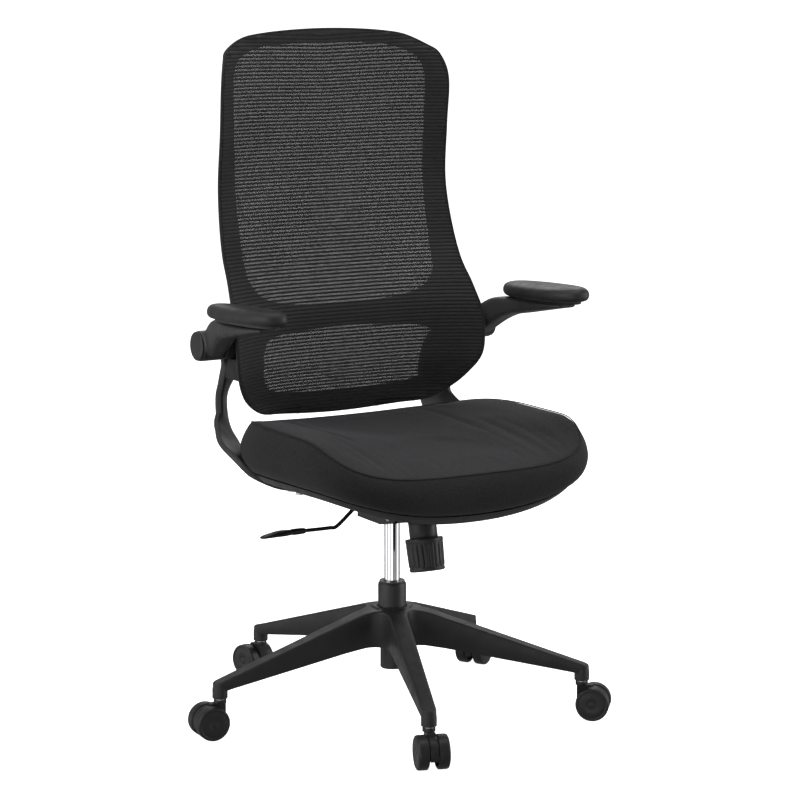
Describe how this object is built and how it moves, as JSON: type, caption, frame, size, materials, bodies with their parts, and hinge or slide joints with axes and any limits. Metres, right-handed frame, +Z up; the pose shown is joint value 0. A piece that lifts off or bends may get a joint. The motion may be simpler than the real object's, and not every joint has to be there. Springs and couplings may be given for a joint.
{
  "type": "swivel office chair",
  "caption": "Swivel office chair with a ribbed mesh back, waterfall seat, flip-up arms, gas lift with tilt mechanism and a five-arm base on twin-wheel casters.",
  "frame": {"origin": "on the floor under the swivel axis of the gas lift", "axes": "+Z up, the sitter faces -Y, +X towards the sitter's left"},
  "size_m": [0.7223, 0.75, 1.196],
  "materials": {
    "base_plastic": "fine-grained glass-filled nylon, satin",
    "column_metal": "black powder coat",
    "bushing_plastic": "smooth moulded bushing plastic",
    "steel": "turned and zinc-plated steel",
    "chrome": "bright chrome plating",
    "housing_metal": "black powder-coated pressed steel",
    "knob_plastic": "fine-grained moulded plastic",
    "lever_plastic": "smooth black plastic",
    "shell_plastic": "fine-grained polypropylene shell",
    "plywood": "pressed beech plywood",
    "seat_fabric": "close-woven polyester cloth",
    "frame_plastic": "fine-grained glass-filled nylon",
    "mesh": "ribbed elastic mesh",
    "arm_plastic": "fine-grained glass-filled nylon",
    "pad_soft": "soft self-skinning foam, satin",
    "wheel_plastic": "hard nylon"
  },
  "bodies": {
    "base": {"star_base": "base_plastic", "gas_column": "column_metal", "guide_bushing": "bushing_plastic", "thrust_bearing": "steel", "caster_sleeves": "steel"},
    "lift_rod": {"piston_rod": "steel", "rod_clip": "steel"},
    "mechanism": {"gas_cylinder": "chrome", "mechanism_housing": "housing_metal", "tilt_pin": "steel", "spring_cup": "knob_plastic", "tension_spring": "steel"},
    "button": {"valve_button": "steel"},
    "knob": {"tension_screw": "steel", "tension_knob": "knob_plastic"},
    "lock": {"lock_slider": "bushing_plastic"},
    "lever": {"lever_rod": "lever_plastic", "lever_paddle": "lever_plastic"},
    "seat": {"seat_plate": "housing_metal", "seat_bolts": "steel", "seat_shell": "shell_plastic", "seat_pan": "plywood", "seat_cushion": "seat_fabric", "bracket_left": "arm_plastic", "bracket_right": "arm_plastic", "bracket_bolts": "steel", "arm_pivots": "steel", "back_frame": "frame_plastic", "back_mesh_upper": "mesh", "back_mesh_lower": "mesh", "back_links": "frame_plastic", "back_screws": "steel"},
    "arm_left": {"arm_left": "arm_plastic", "pad_plate_left": "arm_plastic", "arm_pad_left": "pad_soft", "hub_cap_left": "knob_plastic"},
    "arm_right": {"arm_right": "arm_plastic", "pad_plate_right": "arm_plastic", "arm_pad_right": "pad_soft", "hub_cap_right": "knob_plastic"},
    "caster_1": {"caster_1_pins": "steel", "caster_1_hood": "wheel_plastic"},
    "wheel_1_1": {"caster_1_wheel_1": "wheel_plastic"},
    "wheel_1_2": {"caster_1_wheel_2": "wheel_plastic"},
    "caster_2": {"caster_2_pins": "steel", "caster_2_hood": "wheel_plastic"},
    "wheel_2_1": {"caster_2_wheel_1": "wheel_plastic"},
    "wheel_2_2": {"caster_2_wheel_2": "wheel_plastic"},
    "caster_3": {"caster_3_pins": "steel", "caster_3_hood": "wheel_plastic"},
    "wheel_3_1": {"caster_3_wheel_1": "wheel_plastic"},
    "wheel_3_2": {"caster_3_wheel_2": "wheel_plastic"},
    "caster_4": {"caster_4_pins": "steel", "caster_4_hood": "wheel_plastic"},
    "wheel_4_1": {"caster_4_wheel_1": "wheel_plastic"},
    "wheel_4_2": {"caster_4_wheel_2": "wheel_plastic"},
    "caster_5": {"caster_5_pins": "steel", "caster_5_hood": "wheel_plastic"},
    "wheel_5_1": {"caster_5_wheel_1": "wheel_plastic"},
    "wheel_5_2": {"caster_5_wheel_2": "wheel_plastic"}
  },
  "joints": [
    {"name": "lift_swivel", "type": "hinge", "parent": "base", "child": "lift_rod", "pos_m": [0, 0, 0], "axis": [0, 0, 1], "continuous": true},
    {"name": "lift_travel", "type": "slide", "parent": "lift_rod", "child": "mechanism", "axis": [0, 0, 1], "range_m": [-0.085, 0]},
    {"name": "valve_press", "type": "slide", "parent": "mechanism", "child": "button", "axis": [0, 0, 1], "range_m": [-0.0043, 0]},
    {"name": "tension_turn", "type": "hinge", "parent": "mechanism", "child": "knob", "pos_m": [0, -0.1035, 0.3643], "axis": [0, 0.2215, 0.9751], "range_deg": [-720, 720]},
    {"name": "tilt_lock_pull", "type": "slide", "parent": "mechanism", "child": "lock", "axis": [-1, 0, 0], "range_m": [0, 0.006]},
    {"name": "lever_lift", "type": "hinge", "parent": "lock", "child": "lever", "pos_m": [-0.027, 0, 0.377], "axis": [0, 1, 0], "range_deg": [0, 8], "stiffness_Nm_per_rad": 1.5, "springref_deg": -5.73},
    {"name": "seat_tilt", "type": "hinge", "parent": "mechanism", "child": "seat", "pos_m": [0, -0.075, 0.371], "axis": [-1, 0, 0], "range_deg": [0, 12], "stiffness_Nm_per_rad": 150, "springref_deg": -22.92},
    {"name": "arm_left_flip", "type": "hinge", "parent": "seat", "child": "arm_left", "pos_m": [0.27, 0.162, 0.656], "axis": [-1, 0, 0], "range_deg": [0, 90]},
    {"name": "arm_right_flip", "type": "hinge", "parent": "seat", "child": "arm_right", "pos_m": [-0.27, 0.162, 0.656], "axis": [-1, 0, 0], "range_deg": [0, 90]},
    {"name": "caster_1_swivel", "type": "hinge", "parent": "base", "child": "caster_1", "pos_m": [0.27698, 0.19108, 0.068], "axis": [0, 0, 1], "continuous": true},
    {"name": "wheel_1_1_spin", "type": "hinge", "parent": "caster_1", "child": "wheel_1_1", "pos_m": [0.2946, 0.20252, 0.0295], "axis": [-0.5446, 0.8387, 0], "continuous": true},
    {"name": "wheel_1_2_spin", "type": "hinge", "parent": "caster_1", "child": "wheel_1_2", "pos_m": [0.2946, 0.20252, 0.0295], "axis": [-0.5446, 0.8387, 0], "continuous": true},
    {"name": "caster_2_swivel", "type": "hinge", "parent": "base", "child": "caster_2", "pos_m": [-0.09613, 0.32248, 0.068], "axis": [0, 0, 1], "continuous": true},
    {"name": "wheel_2_1_spin", "type": "hinge", "parent": "caster_2", "child": "wheel_2_1", "pos_m": [-0.10157, 0.34276, 0.0295], "axis": [-0.9659, -0.2588, 0], "continuous": true},
    {"name": "wheel_2_2_spin", "type": "hinge", "parent": "caster_2", "child": "wheel_2_2", "pos_m": [-0.10157, 0.34276, 0.0295], "axis": [-0.9659, -0.2588, 0], "continuous": true},
    {"name": "caster_3_swivel", "type": "hinge", "parent": "base", "child": "caster_3", "pos_m": [-0.3364, 0.00822, 0.068], "axis": [0, 0, 1], "continuous": true},
    {"name": "wheel_3_1_spin", "type": "hinge", "parent": "caster_3", "child": "wheel_3_1", "pos_m": [-0.35735, 0.00969, 0.0295], "axis": [-0.0698, -0.9976, 0], "continuous": true},
    {"name": "wheel_3_2_spin", "type": "hinge", "parent": "caster_3", "child": "wheel_3_2", "pos_m": [-0.35735, 0.00969, 0.0295], "axis": [-0.0698, -0.9976, 0], "continuous": true},
    {"name": "caster_4_swivel", "type": "hinge", "parent": "base", "child": "caster_4", "pos_m": [-0.11177, -0.31739, 0.068], "axis": [0, 0, 1], "continuous": true},
    {"name": "wheel_4_1_spin", "type": "hinge", "parent": "caster_4", "child": "wheel_4_1", "pos_m": [-0.11826, -0.33737, 0.0295], "axis": [0.9511, -0.309, 0], "continuous": true},
    {"name": "wheel_4_2_spin", "type": "hinge", "parent": "caster_4", "child": "wheel_4_2", "pos_m": [-0.11826, -0.33737, 0.0295], "axis": [0.9511, -0.309, 0], "continuous": true},
    {"name": "caster_5_swivel", "type": "hinge", "parent": "base", "child": "caster_5", "pos_m": [0.26732, -0.20438, 0.068], "axis": [0, 0, 1], "continuous": true},
    {"name": "wheel_5_1_spin", "type": "hinge", "parent": "caster_5", "child": "wheel_5_1", "pos_m": [0.28341, -0.21788, 0.0295], "axis": [0.6428, 0.766, 0], "continuous": true},
    {"name": "wheel_5_2_spin", "type": "hinge", "parent": "caster_5", "child": "wheel_5_2", "pos_m": [0.28341, -0.21788, 0.0295], "axis": [0.6428, 0.766, 0], "continuous": true}
  ],
  "couplings": [
    {"joint": "valve_press", "follows": "lever_lift", "m_per_rad": -0.03008}
  ]
}
